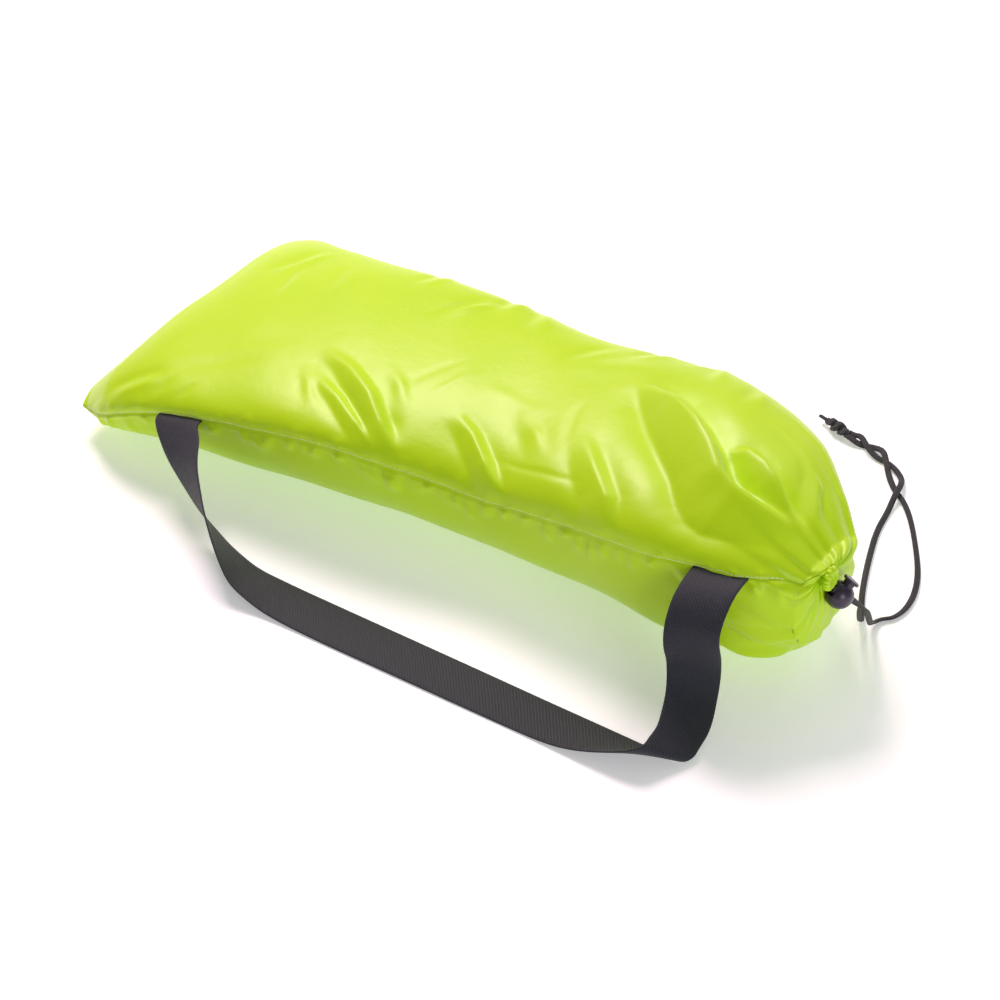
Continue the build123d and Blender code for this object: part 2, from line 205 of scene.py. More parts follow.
def webbing(name, base, light):
    """Woven strap: cross ribs, a fine herringbone and pale weave specks. It reads the cloth UV, in metres."""
    made = Nodes(name, base, 0.62, Sheen_Weight=0.06, Sheen_Roughness=0.5)
    made.shader.inputs["Specular IOR Level"].default_value = 0.45
    place = made.uv()
    ribs = made.waves(place, 330.0, "X")
    chevron = made.waves(place, 240.0, "DIAGONAL")
    weave = made.maths("MULTIPLY", ribs, chevron)
    specks = made.noise(1500.0, 2.0, 0.7, place)
    shade = made.maths("ADD", made.maths("MULTIPLY", weave, 0.14), made.maths("MULTIPLY", specks, 0.86))
    dark = tuple(0.6 * value for value in base)
    made.colour(made.ramp(shade, (0.35, dark), (0.55, base), (0.72, light)))
    made.bump(made.maths("ADD", weave, made.maths("MULTIPLY", specks, 0.5)), 0.7, 0.0005)
    return made.material


def braid(name, base, fleck):
    """Braided cord: crossed yarns over its UV, with pale flecks."""
    made = Nodes(name, base, 0.6, Sheen_Weight=0.05, Sheen_Roughness=0.5)
    place = made.uv()
    one = made.waves(place, 1.0, "DIAGONAL")
    crossed = made.node("ShaderNodeMapping")
    crossed.inputs["Scale"].default_value = (1, -1, 1)
    made.link(place, crossed.inputs["Vector"])
    other = made.waves(crossed.outputs["Vector"], 1.0, "DIAGONAL")
    yarns = made.maths("MAXIMUM", one, other)
    flecks = made.noise(2.2, 2.0, 0.6, place)
    made.colour(made.ramp(made.maths("MULTIPLY", yarns, flecks), (0.42, base), (0.62, fleck)))
    made.bump(yarns, 0.6, 0.0004)
    return made.material


def moulded(name, colour, roughness, coat=0.0, grain=900.0, strength=0.12):
    """Moulded plastic with a faint grain and rubbed patches."""
    made = Nodes(name, colour, roughness, Coat_Weight=coat, Coat_Roughness=0.25)
    made.roughness(made.noise(140.0, 3.0), roughness * 0.85, roughness * 1.25)
    lighter = tuple(value * 1.35 + 0.004 for value in colour)
    made.colour(made.ramp(made.noise(60.0, 3.0), (0.35, colour), (0.8, lighter)))
    made.bump(made.noise(grain, 2.0), strength, 0.0002)
    return made.material


def steel(name):
    made = Nodes(name, (0.6, 0.6, 0.62), 0.3, Metallic=1.0)
    made.roughness(made.noise(500.0, 2.0), 0.22, 0.4)
    made.bump(made.waves(made.coordinates(), 300.0, "Z"), 0.1, 0.0001)
    return made.material


LIME = nylon("lime_nylon", (0.45, 0.72, 0.0), (0.47, 0.73, 0.0), (0.50, 0.735, 0.002))
THREAD = Nodes("seam_thread", (0.78, 0.88, 0.42), 0.55)
THREAD.bump(THREAD.waves(THREAD.coordinates(), 900.0, "DIAGONAL"), 0.4, 0.0002)
STRAP = webbing("strap_webbing", (0.010, 0.013, 0.025), (0.052, 0.058, 0.092))
STRAP_THREAD = Nodes("strap_thread", (0.045, 0.035, 0.055), 0.6)
STRAP_THREAD.bump(STRAP_THREAD.waves(STRAP_THREAD.coordinates(), 900.0, "DIAGONAL"), 0.4, 0.0002)
CORD = braid("cord_braid", (0.005, 0.005, 0.007), (0.085, 0.085, 0.10))
LOCK = moulded("lock_plastic", (0.022, 0.012, 0.034), 0.36, coat=0.15)
TUBE = nylon("tube_nylon", (0.02, 0.09, 0.3), (0.03, 0.12, 0.38), (0.05, 0.16, 0.45))
BLADDER = moulded("bladder_pvc", (0.03, 0.03, 0.034), 0.5, grain=300.0, strength=0.3)
VALVE = moulded("valve_plastic", (0.01, 0.01, 0.011), 0.3, coat=0.3)
TOW = moulded("tow_plastic", (0.012, 0.012, 0.012), 0.5)
GRIP = moulded("grip_foam", (0.014, 0.014, 0.015), 0.8, grain=500.0, strength=0.5)
NODE_MATERIALS = {
    "tube_cover": TUBE,
    "tube_bladder": BLADDER,
    "valve_base": VALVE,
    "valve_cap": VALVE,
    "tow_connector": TOW,
    "handle_grip_front": GRIP,
    "handle_grip_back": GRIP,
    "lock_barrel": LOCK,
    "lock_plunger": LOCK,
    "lock_spring": steel("spring_steel"),
}
PLAIN_WEBBING = nylon("plain_webbing", (0.02, 0.02, 0.024), (0.03, 0.03, 0.036), (0.05, 0.05, 0.06))
PLAIN_BRAID = nylon("plain_braid", (0.01, 0.01, 0.01), (0.015, 0.015, 0.016), (0.04, 0.04, 0.04))
WEBBING_NODES = (
    "tow_webbing",
    "grab_handle_front",
    "grab_handle_back",
    "strap_end_left",
    "strap_end_right",
)
for node_name in WEBBING_NODES:
    NODE_MATERIALS[node_name] = PLAIN_WEBBING
NODE_MATERIALS["drawcord_ring"] = PLAIN_BRAID
for node_name, material in NODE_MATERIALS.items():
    slots = frame["nodes"][node_name].data.materials
    slots.clear()
    slots.append(material)


# ---------------------------------------------------------------- mesh helpers
def new_mesh(name, points, faces, material, body, uvs=None):
    """A smooth mesh piece from points in millimetres."""
    data = bpy.data.meshes.new(name)
    data.from_pydata((np.asarray(points, float) * MM).tolist(), [], [tuple(f) for f in faces])
    data.validate()
    data.polygons.foreach_set("use_smooth", [True] * len(data.polygons))
    if uvs is not None:
        layer = data.uv_layers.new(name="cloth")
        loops = np.array([loop.vertex_index for loop in data.loops])
        layer.data.foreach_set("uv", np.asarray(uvs, np.float32)[loops].ravel())
    data.materials.append(material)
    made = bpy.data.objects.new(name, data)
    scene.collection.objects.link(made)
    if body:
        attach(made, body)
    return made


def grid_faces(rows, columns, around):
    """Quads of a grid of rows by columns; with around, the last column joins the first."""
    last = columns if around else columns - 1
    row, column = np.meshgrid(np.arange(rows - 1), np.arange(last), indexing="ij")
    after = (column + 1) % columns
    quads = np.stack(
        [
            row * columns + column,
            row * columns + after,
            (row + 1) * columns + after,
            (row + 1) * columns + column,
        ],
        -1,
    )
    return quads.reshape(-1, 4).tolist()


def smooth_through(x, y, at):
    """Cubic interpolation that doesn't overshoot between its points."""
    x, y = np.asarray(x, float), np.asarray(y, float)
    step = np.diff(x)
    slope = np.diff(y) / step
    tangent = np.concatenate([[slope[0]], np.zeros(len(x) - 2), [slope[-1]]])
    same = slope[:-1] * slope[1:] > 0
    near, far = 2 * step[1:] + step[:-1], step[1:] + 2 * step[:-1]
    safe_low, safe_high = np.where(same, slope[:-1], 1), np.where(same, slope[1:], 1)
    tangent[1:-1] = np.where(same, (near + far) / (near / safe_low + far / safe_high), 0)
    index = np.clip(np.searchsorted(x, at) - 1, 0, len(x) - 2)
    t = (np.asarray(at, float) - x[index]) / step[index]
    a, b = 2 * t**3 - 3 * t**2 + 1, t**3 - 2 * t**2 + t
    c, d = -2 * t**3 + 3 * t**2, t**3 - t**2
    near_end = a * y[index] + b * step[index] * tangent[index]
    return near_end + c * y[index + 1] + d * step[index] * tangent[index + 1]


def ease(value):
    value = np.clip(value, 0, 1)
    return value * value * (3 - 2 * value)


# ---------------------------------------------------------------- bag skin
# Sections as in the CAD source: x, y of the middle, half width, z of the top, seam and bottom
SECTIONS = np.array(
    [
        (-286, 22, 127, 34, 24, 16),
        (-262, 15, 130, 63, 34, 6),
        (-205, 4, 119, 83, 56, 0.3),
        (-130, 3, 112, 98, 71, 0.3),
        (-50, 4, 105, 107, 80, 0.3),
        (40, 9, 98, 111, 76, 0.3),
        (120, 6, 98, 126, 88, 0.3),
        (190, -7, 92, 137, 99, 0.3),
        (240, -17, 77, 133, 101, 3),
        (276, -29, 58, 119, 94, 16),
        (298, -33, 40, 103, 82, 34),
    ],
    float,
)
END_X, END_ROUND = -290.0, 11.0
MOUTH_X = 298.0
GATHER = np.array([303.0, -43.9, 93.0])
NECK_RADIUS = 6.0


def rings_of_bag():
    """Ring places: x for the body, then shares of the way from the last section to the gather."""
    end = END_X + END_ROUND * (1 - np.cos(np.linspace(0, pi / 2, 10))[:-1])
    body = np.linspace(END_X + END_ROUND, MOUTH_X, 330)
    return np.concatenate([end, body])


def columns_of_bag(count):
    """Section angles of one half, closer together near the seams."""
    share = np.linspace(0, 1, count)
    even = share - 0.115 * np.sin(2 * pi * share)
    return even * pi


HALF = 175
angles = columns_of_bag(HALF)
ring_x = rings_of_bag()


def bag_grid():
    """Points of the smooth bag, rings by columns; columns run from the front seam over the top."""
    places = np.maximum(ring_x, SECTIONS[0, 0])
    values = [smooth_through(SECTIONS[:, 0], SECTIONS[:, k], places)[:, None] for k in range(1, 6)]
    middle, half_width, top, seam, bottom = values
    closing = np.clip((END_X + END_ROUND - ring_x) / END_ROUND, 0, 1)
    thick = np.sqrt(np.clip(1 - closing**2, 0.006, 1))[:, None]
    across, rise = np.cos(angles)[None], np.sin(angles)[None]
    upper_z = seam + (top - seam) * thick * rise**0.8
    lower_z = seam - (seam - bottom) * thick * rise**0.7
    y = middle - half_width * across
    x = np.repeat(ring_x[:, None], HALF, 1)
    upper = np.stack([x, y, upper_z], -1)
    lower = np.stack([x, y, lower_z], -1)
    whole = np.concatenate([upper, lower[:, -2:0:-1]], 1)
    back = np.clip((whole[..., 1] - 112) / 40, 0, 1)
    front = np.clip((-78 - whole[..., 1]) / 30, 0, 1)
    near_end = ease((-225 - whole[..., 0]) / 65)
    whole[..., 0] += near_end * (34 * (1 - np.sqrt(1 - back**2 * 0.98)) + 9 * front**2)
    return whole


def mouth_rings(last, count):
    """Rings from the last section in to the gathered neck."""
    share = np.linspace(0, 1, count + 1)[1:, None, None]
    turn = np.concatenate([angles, 2 * pi - angles[-2:0:-1]])
    neck = np.stack([np.zeros_like(turn), -np.cos(turn), np.sin(turn)], -1) * NECK_RADIUS + GATHER
    inward = ease(share * 0.96 + 0.04) * 0.5 + share * 0.5
    rings = last[None] * (1 - inward) + neck[None] * inward
    bulge = np.sin(pi * np.clip(share * 1.05, 0, 1)) ** 0.8
    side = 0.45 + 0.55 * np.clip(np.sin(turn - 0.5), 0, 1)
    rings[..., 0] += bulge[..., 0] * (6.5 * side[None] - 1.0) - 3.0 * share[..., 0] ** 3
    return rings


grid = bag_grid()
mouth = mouth_rings(grid[-1], 46)
grid = np.concatenate([grid, mouth])
ROWS, COLUMNS = grid.shape[:2]


def normals_of(points):
    along = np.gradient(points, axis=0)
    around = np.roll(points, -1, 1) - np.roll(points, 1, 1)
    normal = np.cross(around, along)
    return normal / np.maximum(np.linalg.norm(normal, axis=-1, keepdims=True), 1e-9)


def chart_of(points):
    """Cloth coordinates: how far along the bag, and how far round from the front seam, up positive."""
    steps = np.linalg.norm(np.diff(points, axis=1, append=points[:, :1]), axis=2)
    arc = np.concatenate([np.zeros((ROWS, 1)), np.cumsum(steps, 1)[:, :-1]], 1)
    total = steps.sum(1)[:, None]
    columns = np.arange(COLUMNS)[None]
    round_from_seam = np.where(columns < HALF, arc, arc - total)
    ahead = np.linalg.norm(np.diff(points, axis=0, prepend=points[:1]), axis=2)
    along = np.repeat(ring_x, 1)
    body = len(ring_x)
    x = np.concatenate([np.repeat(along[:, None], COLUMNS, 1), MOUTH_X + np.cumsum(ahead[body:], 0)])
    return x, round_from_seam


outward = normals_of(grid)
chart_x, chart_s = chart_of(grid)
height = np.zeros((ROWS, COLUMNS))


def seam_line(x):
    """Where the front seam runs, up from the widest place of the bag: it climbs towards the mouth."""
    return np.interp(x, (-290, 200, 240, 262, 278, 292, 304, 322, 345), (0, 0, 2, 6, 12, 18, 21, 17, 6))


def stroke(points, widths, power=2.0, scale=1.0):
    """Raises (+) or sinks (-) the cloth along a line of (x, s, height).

    Widths are left and right of the line's direction."""
    points = np.array(points, float)
    reach = 3.2 * max(widths)
    low, high = points[:, :2].min(0) - reach, points[:, :2].max(0) + reach
    near = (chart_x > low[0]) & (chart_x < high[0]) & (chart_s > low[1]) & (chart_s < high[1])
    x, s = chart_x[near], chart_s[near]
    best = np.full(x.shape, 1e9)
    best_height = np.zeros_like(x)
    best_side = np.ones_like(x)
    for start, end in zip(points[:-1], points[1:]):
        run = end[:2] - start[:2]
        t = np.clip(((x - start[0]) * run[0] + (s - start[1]) * run[1]) / (run @ run), 0, 1)
        dx, ds = x - start[0] - t * run[0], s - start[1] - t * run[1]
        away = np.hypot(dx, ds)
        closer = away < best
        best = np.where(closer, away, best)
        best_height = np.where(closer, start[2] + (end[2] - start[2]) * ease(t), best_height)
        best_side = np.where(closer, np.sign(run[0] * ds - run[1] * dx), best_side)
    width = np.where(best_side > 0, widths[0], widths[1])
    height[near] += scale * best_height * np.exp(-((best / width) ** power))


def along_line(points, x, s):
    """Distance, height and side (left of the line's direction is positive) of the nearest place on a line."""
    best = np.full(x.shape, 1e9)
    best_height = np.zeros_like(x)
    best_side = np.ones_like(x)
    for start, end in zip(points[:-1], points[1:]):
        run = end[:2] - start[:2]
        t = np.clip(((x - start[0]) * run[0] + (s - start[1]) * run[1]) / (run @ run), 0, 1)
        dx, ds = x - start[0] - t * run[0], s - start[1] - t * run[1]
        away = np.hypot(dx, ds)
        closer = away < best
        best = np.where(closer, away, best)
        best_height = np.where(closer, start[2] + (end[2] - start[2]) * t, best_height)
        best_side = np.where(closer, np.sign(run[0] * ds - run[1] * dx), best_side)
    return best, best_height, best_side


def fold(crest, valley, far_side, rise, lip, beyond):
    """A fold with crisp lines, from (x, s, height) of its crest and (x, s, depth) of its valley, which lies
    to the left of the crest. The cloth climbs again over rise to a lip, and levels out."""
    crest, valley = np.array(crest, float), np.array(valley, float)
    both = np.concatenate([crest, valley])
    reach = 3.0 * max(far_side, beyond) + rise
    low, high = both[:, :2].min(0) - reach, both[:, :2].max(0) + reach
    near = (chart_x > low[0]) & (chart_x < high[0]) & (chart_s > low[1]) & (chart_s < high[1])
    x, s = chart_x[near], chart_s[near]
    from_crest, up, crest_side = along_line(crest, x, s)
    from_valley, down, valley_side = along_line(valley, x, s)
    share = from_crest / np.maximum(from_crest + from_valley, 1e-6)
    wall = up * (1 - share) - down * share
    outer = up * np.exp(-((from_crest / far_side) ** 1.4))
    climb = -down + down * (1 + lip) * ease(from_valley / rise)
    level = lip * down * np.exp(-((np.maximum(from_valley - rise, 0) / beyond) ** 1.4))
    inner = np.where(from_valley < rise, climb, level)
    height[near] += np.where(crest_side < 0, outer, np.where(valley_side > 0, inner, wall))


# Large folds of the upper panel near the mouth: a broad hollow wall below a bright lip
fold(
    [
        (106, 137, 0), (122, 118, 4.5), (144, 96, 6.5), (169, 75, 7), (188, 60, 6.8),
        (203, 43, 6), (214, 33, 5), (228, 26, 3.6), (248, 27, 1.8), (274, 35, 0),
    ],
    [
        (110, 138, 0), (128, 135, 5), (152, 127, 12), (180, 110, 15), (200, 93, 15.5),
        (218, 72, 15), (234, 62, 12), (254, 59, 7), (280, 58, 0),
    ],
    14, 9.0, 0.4, 13,
)
fold(
    [(204, 102, 0), (213, 97, 2.2), (228, 79, 3.4), (248, 67, 2.4), (272, 60, 0)],
    [(206, 106, 0), (219, 107, 6), (236, 97, 9), (250, 85, 9), (263, 73, 6), (277, 62, 0)],
    6, 5.0, 0.4, 8,
)
fold(
    [(250, 118, 0), (258, 108, 1.0), (266, 88, 1.4), (278, 68, 0)],
    [(253, 122, 0), (266, 110, 2.2), (275, 92, 2.6), (283, 70, 0)],
    6, 4.0, 0.4, 6,
)
# Diagonal folds of the upper panel near the left strap end
fold(
    [(-120, 80, 0), (-92, 64, 2.6), (-62, 38, 3.0), (-42, 19, 2.4), (-30, 6, 0)],
    [(-116, 88, 0), (-84, 72, 4), (-52, 50, 6), (-28, 28, 5), (-12, 12, 0)],
    8, 5.0, 0.5, 9,
)
fold(
    [(-108, 54, 0), (-80, 36, 2.0), (-54, 17, 2.0), (-38, 5, 0)],
    [(-106, 60, 0), (-72, 41, 3.8), (-46, 23, 3.8), (-28, 10, 0)],
    6, 4.0, 0.5, 6,
)
fold(
    [(-66, 80, 0), (-46, 64, 1.2), (-28, 42, 0)],
    [(-62, 86, 0), (-40, 69, 1.8), (-20, 46, 0)],
    5, 4.0, 0.5, 6,
)
fold(
    [(-123, 66, 0), (-104, 42, 1.0), (-90, 24, 0)],
    [(-119, 69, 0), (-99, 46, 1.5), (-84, 27, 0)],
    5, 3.0, 0.5, 5,
)
# Middle folds
fold(
    [(4, 50, 0), (24, 36, 2.2), (42, 20, 2.4), (58, 4, 0)],
    [(8, 58, 0), (34, 44, 4.4), (56, 27, 5.2), (78, 8, 0)],
    9, 5.0, 0.5, 9,
)
fold([(46, 68, 0), (66, 54, 1.2), (84, 36, 0)], [(50, 76, 0), (74, 63, 1.6), (94, 42, 0)], 8, 6.0, 0.4, 8)
fold(
    [(98, 66, 0), (118, 40, 2.0), (136, 22, 2.0), (148, 4, 0)],
    [(106, 72, 0), (134, 48, 4.0), (158, 28, 4.2), (172, 6, 0)],
    9, 8.0, 0.4, 9,
)
stroke([(-46, 48, 0), (-26, 34, 1.4), (-10, 18, 0)], (6, 5), 2.0)
stroke([(56, 34, 0), (80, 32, 0.8), (110, 32, 0.9), (140, 34, 0)], (1.8, 3.0), 1.6)
# Small creases high on the upper panel
stroke([(-18, 62, 0), (-12, 78, -0.9), (-6, 94, -0.9), (2, 108, 0)], (2.2, 3.2), 1.6)
stroke([(-40, 66, 0), (-36, 80, 0.8), (-26, 98, 0.9), (-14, 120, 0)], (2.6, 3.6), 1.6)
stroke([(8, 92, 0), (30, 88, -1.0), (56, 82, -1.0), (76, 84, 0)], (5, 8), 1.8)
stroke([(86, 108, 0), (88, 92, 0.8), (96, 72, 0.9), (104, 56, 0)], (3, 4), 1.8)
stroke([(40, 150, 0), (62, 146, -1.6), (90, 156, -1.8), (116, 176, 0)], (16, 14), 2.0)
stroke([(-250, 60, 0), (-215, 68, 1.1), (-170, 84, 1.3), (-130, 92, 0)], (16, 12), 2.0)
stroke([(-232, 40, 0), (-200, 46, 1.0), (-168, 60, 1.1), (-140, 66, 0)], (9, 8), 2.0)
stroke([(-262, 18, 0), (-246, 26, 1.4), (-228, 36, 1.4), (-210, 38, 0)], (5, 6), 1.8)
stroke([(-214, 8, 0), (-208, 22, 1.2), (-204, 38, 0)], (3.5, 3.5), 1.8)
stroke([(-192, 8, 0), (-188, 20, 1.0), (-184, 32, 0)], (3, 3), 1.8)
stroke([(-252, 16, 0), (-236, 18, -1.3), (-222, 24, -1.2), (-212, 32, 0)], (5, 5), 1.8)
# Lower front panel: long folds that run to the gathered mouth
stroke([(212, -40, 0), (238, -52, -2.2), (262, -66, -5.2), (284, -72, -2.4), (300, -74, 0)], (4, 7), 1.8)
stroke([(206, -28, 0), (236, -38, 1.8), (262, -50, 4.2), (286, -58, 1.8), (300, -60, 0)], (7, 4), 1.8)
stroke([(222, -62, 0), (246, -78, 2.0), (270, -88, 4.4), (290, -92, 0)], (7, 6), 1.8)
stroke([(240, -14, 0), (258, -18, 1.8), (278, -22, 2.0), (296, -24, 0)], (5, 5), 1.8)
stroke([(262, -98, 0), (276, -106, -2.4), (292, -110, 0)], (6, 6), 1.8)


def puckers():
    """Short puckers that the seam's thread draws into both panels, closer and deeper below it."""
    draw = np.random.default_rng(11)
    place = -272.0
    while place < 286:
        place += draw.uniform(7, 19)
        at_seam = float(seam_line(place))
        lean = draw.uniform(-0.2, 0.9)
        long_low = draw.uniform(9, 26)
        deep = draw.uniform(2.0, 4.6)
        stroke(
            [
                (place, at_seam - 0.5, -0.3),
                (place + lean * long_low * 0.4, at_seam - long_low * 0.4, -deep),
                (place + lean * long_low, at_seam - long_low, 0),
            ],
            (draw.uniform(1.6, 3.2), draw.uniform(2.5, 5.0)),
            1.7,
        )
        long_high = draw.uniform(6, 15)
        stroke(
            [
                (place + 3, at_seam + 0.5, -0.25),
                (place + 3 - lean * long_high * 0.4, at_seam + long_high * 0.4, -0.3 * deep),
                (place + 3 - lean * long_high, at_seam + long_high, 0),
            ],
            (draw.uniform(1.4, 2.4), draw.uniform(1.8, 3.4)),
            1.7,
        )


puckers()
# The back side has folds of its own, out of the main view
draw_back = np.random.default_rng(5)
for place in np.linspace(-235, 225, 13):
    begin = draw_back.uniform(120, 190)
    slant = draw_back.uniform(-26, 30)
    size = draw_back.uniform(1.0, 2.6)
    for shift, lift, long_side, widths in ((0, size, 58, (5, 8)), (11, -size, 54, (6, 5))):
        stroke(
            [
                (place + shift, begin, 0),
                (place + shift + slant * 0.5, begin + 26, lift),
                (place + shift + slant, begin + long_side, 0),
            ],
            widths,
            1.9,
        )

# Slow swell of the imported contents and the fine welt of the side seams
height += 0.9 * np.sin(chart_x / 31.0 + 0.5 * np.sin(chart_s / 23.0)) * np.sin(chart_s / 37.0 + 0.8)
height += 0.5 * np.sin(chart_x / 13.0 + chart_s / 17.0) * ease((np.abs(chart_s) - 4) / 20)
from_seam = chart_s - seam_line(chart_x)
height += 0.8 * np.exp(-((from_seam / 1.1) ** 2)) - 0.7 * np.exp(-(((from_seam + 2.8) / 1.6) ** 2))

# Gathers: uneven pleats that fade out away from the mouth
PLEATS = (14, 38, 55, 79, 92, 116, 150, 184, 212, 247, 268, 296, 322, 343)
turn = np.degrees(np.concatenate([angles, 2 * pi - angles[-2:0:-1]]))
pleat = np.zeros((ROWS, COLUMNS))
from_mouth = MOUTH_X - chart_x
inner = np.clip((chart_x - MOUTH_X) / 46, 0, 1)
draw_pleats = np.random.default_rng(3)
for place in PLEATS:
    reach = draw_pleats.uniform(22, 70)
    tall = draw_pleats.uniform(1.8, 4.2)
    drift = draw_pleats.uniform(-0.16, 0.16)
    offset = (turn[None] - place - drift * np.maximum(from_mouth, 0) + 180) % 360 - 180
    steep, slack = 3.5 + 1.2 * np.sin(place), 13.0 + 4.0 * np.cos(2.3 * place)
    width = np.where(offset > 0, steep, slack)
    fade = np.where(from_mouth > 0, np.exp(-((np.maximum(from_mouth, 0) / reach) ** 1.6)), 1.0 - 0.45 * inner)
    pleat += tall * fade * np.exp(-((np.abs(offset) / width) ** 1.5))
fine = np.cos(np.radians(turn)[None] * 31 + 2.0 * np.sin(np.radians(turn)[None] * 3))
height += pleat - 1.6 * ease((chart_x - 270) / 40) + 0.5 * fine * ease((chart_x - MOUTH_X - 4) / 24)
height *= np.where(chart_x > MOUTH_X + 40, 0.6, 1.0)

for _ in range(3):
    beside = (np.roll(height, 1, 1) + np.roll(height, -1, 1)) / 2
    ahead = height.copy()
    ahead[1:-1] = (height[2:] + height[:-2]) / 2
    near_seam = np.exp(-((from_seam / 3.0) ** 2))
    height = height + (1 - near_seam) * 0.5 * ((beside + ahead) / 2 - height)

# The cloth stays above the floor where it rests
grid_out = grid + outward * height[..., None]
grid_out[..., 2] = np.maximum(grid_out[..., 2], 0.25)


# Profile of the gathered casing round the drawcord: place ahead of the gather, radius, share of ruffle
CASING = (
    (0.6, 6.2, 0.6),
    (1.6, 6.9, 0.9),
    (2.8, 8.0, 1.0),
    (4.3, 8.4, 1.0),
    (5.8, 8.2, 1.0),
    (7.0, 7.0, 1.0),
    (7.3, 5.4, 0.9),
    (6.8, 3.9, 0.8),
    (5.6, 2.6, 0.5),
    (4.6, 1.2, 0.2),
)


def bag_skin():
    """The bag's cloth as one closed mesh, with the ruffled casing at its mouth."""
    turn_radians = np.radians(turn)
    ruffle = 0.5 * np.cos(turn_radians * 15 + 1.4 * np.sin(turn_radians * 2))
    collar = []
    for offset, radius, wave in CASING:
        size = (radius + wave * ruffle)[:, None]
        ring = np.stack([np.zeros_like(turn_radians), -np.cos(turn_radians), np.sin(turn_radians)], -1)
        collar.append(ring * size + GATHER + np.array([offset, 0, 0]))
    rows = np.concatenate([grid_out, np.array(collar)])
    count = len(rows)
    points = rows.reshape(-1, 3)
    faces = grid_faces(count, COLUMNS, True)
    first, last = len(points), len(points) + 1
    points = np.concatenate([points, [rows[0].mean(0)], [rows[-1].mean(0)]])
    faces += [(first, (k + 1) % COLUMNS, k) for k in range(COLUMNS)]
    base = (count - 1) * COLUMNS
    faces += [(last, base + k, base + (k + 1) % COLUMNS) for k in range(COLUMNS)]
    faces = [tuple(reversed(f)) for f in faces]
    return new_mesh("bag_skin", points, faces, LIME, "bag")


bag = bag_skin()
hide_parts("top_panel", "bottom_panel", "end_seam", "mouth_gather", "mouth_hem")


def cloth_point(x, s):
    """The finished cloth's point and normal at chart coordinates."""
    row = int(np.abs(ring_x - x).argmin())
    near = np.abs(chart_s[row] - s).argmin()
    return grid_out[row, near], outward[row, near]


def stitches(name, route, length, gap, thick, lift, material):
    """A row of thread stitches on the cloth along chart coordinates."""
    points = np.array([cloth_point(x, s) for x, s in route])
    places, normals = points[:, 0], points[:, 1]
    steps = np.linalg.norm(np.diff(places, axis=0), axis=1)
    along = np.concatenate([[0], np.cumsum(steps)])
    starts = np.arange(1.0, along[-1] - length, length + gap)
    corners, faces = [], []
    sides = 6
    for start in starts:
        base = len(corners)
        for k, (share, size) in enumerate(((0, 0.35), (0.15, 0.85), (0.5, 1.0), (0.85, 0.85), (1, 0.35))):
            at = start + share * length
            middle = np.array([np.interp(at, along, places[:, i]) for i in range(3)])
            normal = np.array([np.interp(at, along, normals[:, i]) for i in range(3)])
            ahead = np.array([np.interp(at + 0.5, along, places[:, i]) for i in range(3)]) - middle
            normal /= np.linalg.norm(normal)
            ahead /= max(np.linalg.norm(ahead), 1e-9)
            side = np.cross(normal, ahead)
            middle = middle + normal * (lift - 0.25 * thick * (abs(share - 0.5) * 2) ** 2)
            for j in range(sides):
                angle = 2 * pi * j / sides
                corners.append(middle + (side * cos(angle) + normal * sin(angle)) * thick / 2 * size)
        for k in range(4):
            for j in range(sides):
                after = (j + 1) % sides
                low, high = base + k * sides, base + (k + 1) * sides
                faces.append((low + j, low + after, high + after, high + j))
        faces.append(tuple(base + j for j in reversed(range(sides))))
        faces.append(tuple(base + 4 * sides + j for j in range(sides)))
    return new_mesh(name, corners, faces, material, "bag")


front_route = [(x, seam_line(x) + 0.9) for x in np.linspace(-284, 290, 400)]
stitches("front_seam_thread", front_route, 3.0, 0.5, 0.75, 0.05, THREAD.material)
back_route = [
    (x, chart_s[int(np.abs(ring_x - x).argmin()), HALF - 1] - 1.3)
    for x in np.linspace(-284, 290, 400)
]
stitches("back_seam_thread", back_route, 3.0, 0.5, 0.75, 0.05, THREAD.material)


# ---------------------------------------------------------------- carry strap
STRAP_WIDTH, STRAP_THICKNESS = 38.0, 1.5
